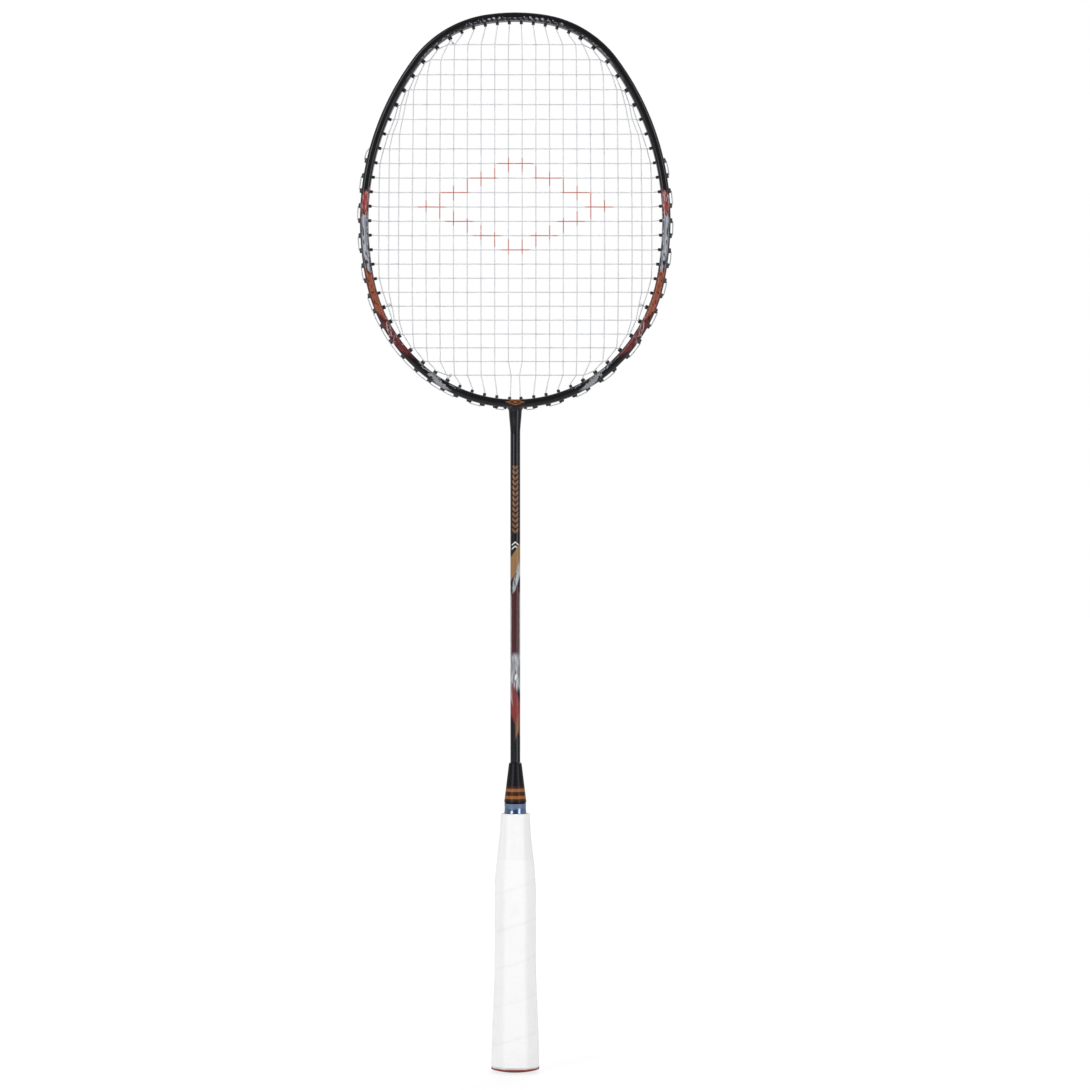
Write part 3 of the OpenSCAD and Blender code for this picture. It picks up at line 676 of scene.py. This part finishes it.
cross_route = [mirrored(p) for p in knot_end(pole_holes, 1)[::-1]]
cross_route.append(mirrored(loop_mid(pole_holes, pole_holes + 1, 1)))
for k in range(1, crosses + 1):
    run = cross_run(k)
    cross_route += run if k % 2 == 1 else run[::-1]
    if k < crosses:
        bend = loop_mid(k + pole_holes, k + pole_holes + 1, 1)
        cross_route.append(bend if k % 2 == 1 else mirrored(bend))
cross_route.append(mirrored(loop_mid(holes - pole_holes, holes - pole_holes + 1, 1)))
cross_route += [mirrored(p) for p in knot_end(holes - pole_holes + 1, 1)]


def string_tree():
    """Nodes that round a route's corners and draw the string along it."""
    tree = bpy.data.node_groups.new("string_along_route", "GeometryNodeTree")
    sockets = tree.interface
    sockets.new_socket("Geometry", in_out="INPUT", socket_type="NodeSocketGeometry")
    sockets.new_socket("Geometry", in_out="OUTPUT", socket_type="NodeSocketGeometry")
    for name, kind in (("String Radius", "Float"), ("Bend Radius", "Float"), ("Bend Steps", "Int"),
                       ("Sides", "Int"), ("Material", "Material")):
        sockets.new_socket(name, in_out="INPUT", socket_type="NodeSocket" + kind)
    add = tree.nodes.new
    given, result = add("NodeGroupInput"), add("NodeGroupOutput")
    route, bend = add("GeometryNodeMeshToCurve"), add("GeometryNodeFilletCurve")
    width = add("GeometryNodeInputNamedAttribute")
    ring, body = add("GeometryNodeCurvePrimitiveCircle"), add("GeometryNodeCurveToMesh")
    keep, paint = add("GeometryNodeRealizeInstances"), add("GeometryNodeSetMaterial")
    bend.mode = "POLY"
    width.data_type = "FLOAT"
    width.inputs["Name"].default_value = "width"
    link = tree.links.new
    link(given.outputs["Geometry"], route.inputs["Mesh"])
    link(route.outputs["Curve"], bend.inputs["Curve"])
    link(given.outputs["Bend Radius"], bend.inputs["Radius"])
    link(given.outputs["Bend Steps"], bend.inputs["Count"])
    bend.inputs["Limit Radius"].default_value = True
    link(given.outputs["Sides"], ring.inputs["Resolution"])
    link(given.outputs["String Radius"], ring.inputs["Radius"])
    link(bend.outputs["Curve"], body.inputs["Curve"])
    link(ring.outputs["Curve"], body.inputs["Profile Curve"])
    link(width.outputs["Attribute"], body.inputs["Scale"])
    body.inputs["Fill Caps"].default_value = True
    link(body.outputs["Mesh"], keep.inputs["Geometry"])
    link(keep.outputs["Geometry"], paint.inputs["Geometry"])
    link(given.outputs["Material"], paint.inputs["Material"])
    link(paint.outputs["Geometry"], result.inputs["Geometry"])
    return tree


def draw_string(name, route, finish, tree):
    """Runs the nodes on one route and keeps the result as a plain mesh."""
    line = bpy.data.meshes.new(name + "_route")
    line.from_pydata([p * MM for p in route], [(i, i + 1) for i in range(len(route) - 1)], [])
    width = line.attributes.new("width", "FLOAT", "POINT")
    for i in range(len(route)):
        fat = min(i, len(route) - 1 - i) in (1, 2)
        width.data[i].value = knot_d / string_d if fat else 1.0
    holder = bpy.data.objects.new(name + "_route", line)
    scene.collection.objects.link(holder)
    nodes = holder.modifiers.new("string", "NODES")
    nodes.node_group = tree
    values = {"String Radius": string_r * MM, "Bend Radius": 1.1 * MM, "Bend Steps": 3, "Sides": 8,
              "Material": finish.material}
    for item in tree.interface.items_tree:
        if item.item_type == "SOCKET" and item.in_out == "INPUT" and item.name in values:
            nodes[item.identifier] = values[item.name]
    graph = bpy.context.evaluated_depsgraph_get()
    mesh = bpy.data.meshes.new_from_object(holder.evaluated_get(graph))
    holder.modifiers.clear()
    bpy.data.objects.remove(holder)
    mesh.name = name
    made = bmesh.new()
    made.from_mesh(mesh)
    bmesh.ops.recalc_face_normals(made, faces=made.faces)
    for polygon in made.faces:
        polygon.smooth = len(polygon.verts) < 5
    made.to_mesh(mesh)
    made.free()
    piece = bpy.data.objects.new(name, mesh)
    scene.collection.objects.link(piece)
    return piece


string_nylon = Finish("string_nylon", coat_weight=0.3, coat_roughness=0.15)
x, y, z = string_nylon.axes()
braid = (string_nylon.noise(0.3, 2, (1, 1, 0.5)) * 3 + (x + z) * 5.2).sine() * 0.5 + 0.5
rubbed = string_nylon.slope(string_nylon.noise(9, 3), 0.42, 0.7)
nylon = string_nylon.mix(rgb(196, 198, 203), rgb(222, 224, 227), braid)
nylon = string_nylon.mix(nylon, rgb(184, 184, 186), rubbed * 0.4)
# a plain stencilled lozenge, brushed on through a card and half worn off
lozenge = abs(x) / 64 + abs(z - 552) / 33
ink = string_nylon.between(lozenge, 0.72, 1.0, 0.02) * string_nylon.slope(string_nylon.noise(3, 3), 0.24, 0.4)
nylon = string_nylon.mix(nylon, rgb(188, 74, 48), ink * (y < 0.12) * 0.92)
string_nylon.feed(base_color=nylon, roughness=0.3 + braid * 0.15)
string_nylon.bumps((braid, 0.02))
tree = string_tree()
for name, route in (("main_string", main_route), ("cross_string", cross_route)):
    piece = draw_string("woven_" + name, route, string_nylon, tree)
    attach(piece, "root")
    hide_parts(name)

# Grommets: black nylon barrels that line the string holes, moulded singly or in strips. The
# strips lie in the channel, and strings have polished and nicked every mouth.
grommet_nylon = Finish("grommet_nylon")
mottle = grommet_nylon.noise(0.6, 4, rough=0.65)
nicks = grommet_nylon.slope(grommet_nylon.noise(1.1, 5, rough=0.75), 0.6, 0.75)
plastic = grommet_nylon.mix(rgb(15, 15, 17), rgb(34, 34, 37), mottle)
grommet_nylon.feed(base_color=grommet_nylon.mix(plastic, rgb(92, 92, 94), nicks * 0.3),
                   roughness=0.38 + mottle * 0.2)
grommet_nylon.bumps((mottle, 0.03))
for name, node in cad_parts.items():
    if "grommet" in name:
        node.data.materials.clear()
        node.data.materials.append(grommet_nylon.material)

# Ring and cone: a turned and anodised aluminium ring pressed over the handle's neck, and a
# moulded gloss cone glued above it, which carries two thin copper lines round its foot.
grip_top_z, ring_h, ring_d, neck_d = 164.4, 6.6, 14.3, 11
cone_h, cone_d, cone_tip_d = 26, 14.4, 8
ring_top_z = grip_top_z + ring_h


def lathe(name, outside, inside_r, material, sides=72):
    """A turned piece with a bore, from its outside profile, foot first."""
    profile = [(inside_r, outside[0][1])] + outside + [(inside_r, outside[-1][1])]
    points, faces = loft(turned(profile, sides), closed=True)
    return put(name, points, faces, material)


ring_metal = Finish("ring_metal", metallic=1.0)
turning = ring_metal.noise(0.12, 3, (0.02, 0.02, 1), 0.6)
marks = ring_metal.slope(ring_metal.noise(2.2, 5, rough=0.7), 0.6, 0.78)
steel_blue = ring_metal.mix(rgb(96, 116, 148), rgb(132, 150, 178), turning)
ring_metal.feed(base_color=ring_metal.mix(steel_blue, rgb(170, 176, 184), marks * 0.4),
                roughness=0.1 + turning * 0.16)
ring_metal.bumps((turning, 0.004))
bead, waist = 0.35, 0.3
ring_outside = []
ring_steps = 28
for i in range(ring_steps + 1):
    t = i / ring_steps
    edge = min(t, 1 - t) * ring_h
    r = ring_d / 2 - waist * (1 - (2 * t - 1) ** 2)
    if edge < bead:
        r -= bead - math.sqrt(max(0, bead * bead - (bead - edge) ** 2))
    ring_outside.append((r, grip_top_z + ring_h * t))
ring = lathe("handle_ring", ring_outside, neck_d / 2 + 0.05, ring_metal.material)
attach(ring, "root")
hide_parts("cone_ring")

cone_plastic = Finish("cone_plastic", coat_roughness=0.04, coat_ior=1.42, specular_ior_level=0.15)
x, y, z = cone_plastic.axes()
flow = cone_plastic.noise(1.6, 3, (1, 1, 0.3))
glossy = cone_plastic.mix(rgb(11, 10, 14), rgb(25, 23, 30), flow)
foil = cone_plastic.mix(rgb(176, 112, 58), rgb(112, 62, 32), cone_plastic.noise(0.5, 3))
low_line, high_line = (cone_plastic.between(z, at - 1, at + 1, 0.15) for at in (174.9, 179.4))
lines = low_line.most(high_line)
band = cone_plastic.between(z, 172.4, 182, 0.4)
glossy = cone_plastic.mix(glossy, rgb(64, 36, 22), band * 0.8)
rubs = cone_plastic.slope(cone_plastic.noise(1.2, 5, (1, 1, 0.3), 0.7), 0.62, 0.78)
lined = cone_plastic.mix(glossy, foil, lines)
cone_plastic.feed(base_color=cone_plastic.mix(lined, rgb(110, 110, 112), rubs * 0.12),
                  roughness=0.24 + flow * 0.15 + rubs * 0.15)
cone_plastic.bumps((flow, 0.01), (lines, 0.04))
cone_round, cone_steps = 0.8, 40
cone_outside = []
for i in range(cone_steps + 1):
    t = i / cone_steps
    r = cone_d / 2 + (cone_tip_d - cone_d) / 2 * t
    z_here = ring_top_z + cone_h * t
    edge = min(t, 1 - t) * cone_h
    if edge < cone_round:
        r -= cone_round - math.sqrt(max(0, cone_round ** 2 - (cone_round - edge) ** 2))
    cone_outside.append((r, z_here))
cone = lathe("handle_cone", cone_outside, shaft_d / 2 + 0.05, cone_plastic.material)
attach(cone, "root")
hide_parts("cone_cap")

# Handle core: an eight-sided beech bar, bored for the shaft and for the cap's plug. The grip
# hides it but for the neck's end inside the ring.
wood = Finish("wood")
fibre = wood.noise(1.2, 4, (1, 1, 0.04), 0.6)
pores = wood.slope(wood.noise(0.35, 3, (1, 1, 0.05)), 0.56, 0.68)
beech = wood.mix(rgb(214, 182, 134), rgb(186, 148, 100), fibre)
wood.feed(base_color=wood.mix(beech, rgb(140, 102, 66), pores * 0.6), roughness=0.5 + fibre * 0.2)
wood.bumps((fibre, 0.04), (pores, 0.03))
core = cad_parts["handle_core"]
core.data.materials.clear()
core.data.materials.append(wood.material)

# Base grip: a soft white polyurethane band about 24 mm wide, glued on the back and wound up
# the core edge to edge from the cap, so its seam climbs the handle in a slow helix.
grip_w, depth_ratio, slant_ratio = 26.5, 0.906, 0.987
flare_w, flare_l, taper_w, taper_l = 4, 80, 7.6, 50
cap_h, cap_w, tape_l, tape_t = 2.6, 31, 29.4, 0.25
tape_z = grip_top_z - tape_l


def ramp(u):
    return (1 - math.cos(math.pi * min(1, max(0, u)))) / 2


def grip_half(z):
    flare = flare_w / 2 * ramp(1 - z / flare_l)
    return grip_w / 2 + flare - taper_w / 2 * ramp((z - grip_top_z + taper_l) / taper_l)


def eight_sided(half, rounding, per_flat, per_corner):
    """Outline of the handle, flats joined by round corners: (point, outward) pairs."""
    reach_of = [half * (1, slant_ratio, depth_ratio, slant_ratio)[i % 4] for i in range(8)]
    corners = []
    for i in range(8):
        a, b = math.radians(45 * i), math.radians(45 * (i + 1))
        p, q = reach_of[i] - rounding, reach_of[(i + 1) % 8] - rounding
        s = math.sin(b - a)
        corners.append(((p * math.sin(b) - q * math.sin(a)) / s, (q * math.cos(a) - p * math.cos(b)) / s))
    outline = []
    for i in range(8):
        a = math.radians(45 * i)
        c0, c1 = corners[i - 1], corners[i]
        for k in range(per_flat):
            t = k / per_flat
            outline.append((c0[0] + (c1[0] - c0[0]) * t + rounding * math.cos(a),
                            c0[1] + (c1[1] - c0[1]) * t + rounding * math.sin(a), a))
        for k in range(per_corner):
            turn = a + math.radians(45) * k / per_corner
            outline.append((c1[0] + rounding * math.cos(turn), c1[1] + rounding * math.sin(turn), turn))
    return outline


def wrapped(heights, half_at, sink, rounding=5.0, per_flat=12, per_corner=9):
    """Rings up the handle, each point let in by sink(angle round, height)."""
    rings = []
    for z in heights:
        ring = []
        for px, py, turn in eight_sided(half_at(z), rounding, per_flat, per_corner):
            around = math.atan2(py, px) / (2 * math.pi)
            d = sink(around, z)
            ring.append(Vector((px - d * math.cos(turn), py - d * math.sin(turn), z)))
        rings.append(ring)
    return rings


seam_pitch, seam_wide, seam_deep = 24.0, 0.75, 0.22


def grip_sink(around, z):
    """How far the wrap lies below its full size: the seam's groove, soft band edges, ends."""
    off = ((z / seam_pitch - around + 0.35) % 1 - 0.5) * seam_pitch
    groove = seam_deep * math.exp(-(off / seam_wide) ** 2)
    crown = 0.1 * (abs(off) / (seam_pitch / 2)) ** 2
    band_crown = 0.1 - crown
    swell = 0.04 * math.sin(z * 0.21 + around * 9)
    foot = 0.7 * (1 - smooth((z - cap_h) / 1.6))
    return 0.06 + groove + band_crown * 0.6 + swell * 0.5 + foot + (tape_t + 0.05 if z > tape_z + 0.4 else 0)


grip_foam = Finish("grip_foam", sheen_weight=0.15)
pebble = grip_foam.node("ShaderNodeTexVoronoi", {"feature": "SMOOTH_F1"}, {
    "Vector": grip_foam.place(), "Scale": 1 / (0.75 * MM), "Smoothness": 0.6}, "Distance")
cells = grip_foam.noise(0.16, 3)
handled = grip_foam.slope(grip_foam.noise(16, 4), 0.45, 0.75)
foam = grip_foam.mix(rgb(251, 251, 251), rgb(244, 244, 245), pebble)
foam = grip_foam.mix(foam, rgb(243, 242, 240), handled * 0.35)
seam_dust = grip_foam.own("seam")
foam = grip_foam.mix(foam, rgb(232, 230, 226), seam_dust * (0.25 + handled * 0.3))
grip_foam.feed(base_color=foam, roughness=0.55 + pebble * 0.2)
grip_foam.bumps((pebble, 0.09), (cells, 0.025))
grip_heights = [cap_h + 0.02 + 0.3 * i for i in range(6)]
grip_heights += [cap_h + 1.82 + 0.9 * i for i in range(int((tape_z - cap_h - 1.82) / 0.9) + 1)]
grip_heights += [tape_z + 0.35, tape_z + 0.45]
grip_heights += [tape_z + 0.45 + (tape_l - 0.47) * i / 12 for i in range(1, 13)]
grip_out = wrapped(grip_heights, grip_half, grip_sink)
grip_in = wrapped([grip_heights[-1], grip_heights[0]], lambda z: grip_half(z) - 1.9, lambda a, z: 0, 0.7)
points, faces = loft(grip_out + grip_in, closed=True)
grip = put("wound_grip", points, faces, grip_foam.material)
seam = grip.data.attributes.new("seam", "FLOAT", "POINT")
for i, vertex in enumerate(grip.data.vertices):
    px, py, pz = (c / MM for c in vertex.co)
    off = ((pz / seam_pitch - math.atan2(py, px) / (2 * math.pi) + 0.35) % 1 - 0.5) * seam_pitch
    seam.data[i].value = math.exp(-(off / seam_wide) ** 2)
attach(grip, "root")
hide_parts("base_grip")

# Finishing tape: thin white vinyl, wound over the grip's top end and pressed down. It shows
# faint creases round the flats' corners and one edge where its end overlaps.
tape_white = Finish("tape_white")
crease = tape_white.noise(2.4, 4, (1, 1, 0.35), 0.6)
fine = tape_white.noise(0.3, 2)
tape_white.feed(base_color=tape_white.mix(rgb(250, 250, 250), rgb(240, 240, 241), crease),
                roughness=0.36 + fine * 0.15)
tape_white.bumps((crease, 0.07), (fine, 0.01))


def tape_sink(around, z):
    """The tape's soft lower edge, its overlap and the top pulled in."""
    lower_edge = 0.14 * (1 - smooth((z - tape_z) / 0.5))
    top = 0.25 * smooth((z - grip_top_z + 0.9) / 0.9)
    lap = 0.05 * smooth(((z - tape_z) / 15 - around + 0.1) % 1 / 0.06)
    ripple = 0.03 * math.sin(z * 0.9 + around * 21) * math.sin(z * 0.31)
    return 0.02 + lower_edge + top + lap + 0.03 + ripple


tape_heights = [tape_z + 0.02 + 0.15 * i for i in range(5)]
tape_heights += [tape_z + 0.62 + (tape_l - 1.64) * i / 44 for i in range(1, 45)]
tape_heights += [grip_top_z - 0.02 - 0.2 * i for i in range(4, -1, -1)]
tape_out = wrapped(tape_heights, grip_half, tape_sink)
tape_in = wrapped(tape_heights[::-1], grip_half, lambda a, z: tape_t + 0.02)
points, faces = loft(tape_out + tape_in, closed=True)
tape = put("finishing_wrap", points, faces, tape_white.material)
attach(tape, "root")
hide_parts("finishing_tape")

# Butt cap: an eight-sided moulded cap with a domed end, its plug pushed into the core. Its
# red-brown plastic has a satin spark finish, rubbed smooth on the rim.
dome_r, cap_flat_d, plug_d, plug_l = 60, 14, 12, 9
drop = dome_r - math.sqrt(dome_r ** 2 - cap_flat_d ** 2 / 4)
cap_plastic = Finish("cap_plastic")
spark = cap_plastic.noise(0.3, 4, rough=0.7)
worn = cap_plastic.slope(cap_plastic.noise(3, 5, rough=0.7), 0.5, 0.75)
brick_red = cap_plastic.mix(rgb(150, 62, 52), rgb(120, 46, 40), spark)
cap_plastic.feed(base_color=cap_plastic.mix(brick_red, rgb(176, 108, 96), worn * 0.4),
                 roughness=0.4 + spark * 0.18 - worn * 0.1)
cap_plastic.bumps((spark, 0.035))
rim_round = 0.5
cap_rings = []
cap_heights = [0.1 * i for i in range(21)]
cap_heights += [cap_h - rim_round * (1 - math.sin(math.radians(a))) for a in range(0, 91, 15)]
for z in cap_heights:
    dome = math.sqrt(max(0, dome_r ** 2 - (dome_r - drop - z) ** 2))
    lift = max(0, z - cap_h + rim_round)
    inset = rim_round - math.sqrt(max(0, rim_round ** 2 - lift ** 2))
    ring = []
    for px, py, turn in eight_sided(cap_w / 2 - inset, 2.2, 8, 6):
        far = math.hypot(px, py)
        # the flats give way smoothly to the dome
        kept = (far ** -14 + dome ** -14) ** (-1 / 14)
        ring.append(Vector((px * kept / far, py * kept / far, z)))
    cap_rings.append(ring)
plug_r, lead_in, lead_share = plug_d / 2, 0.4, 0.93
plug_foot = []
for p in cap_rings[-1]:
    share = plug_r / math.hypot(p.x, p.y)
    plug_foot.append(Vector((p.x * share, p.y * share, cap_h)))
cap_rings.append(plug_foot)
cap_rings.append([Vector((p.x, p.y, cap_h + plug_l - lead_in)) for p in plug_foot])
cap_rings.append([Vector((p.x * lead_share, p.y * lead_share, cap_h + plug_l)) for p in plug_foot])
points, faces = loft(cap_rings)
cap = put("end_cap", points, faces, cap_plastic.material)
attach(cap, "root")
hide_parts("butt_cap")
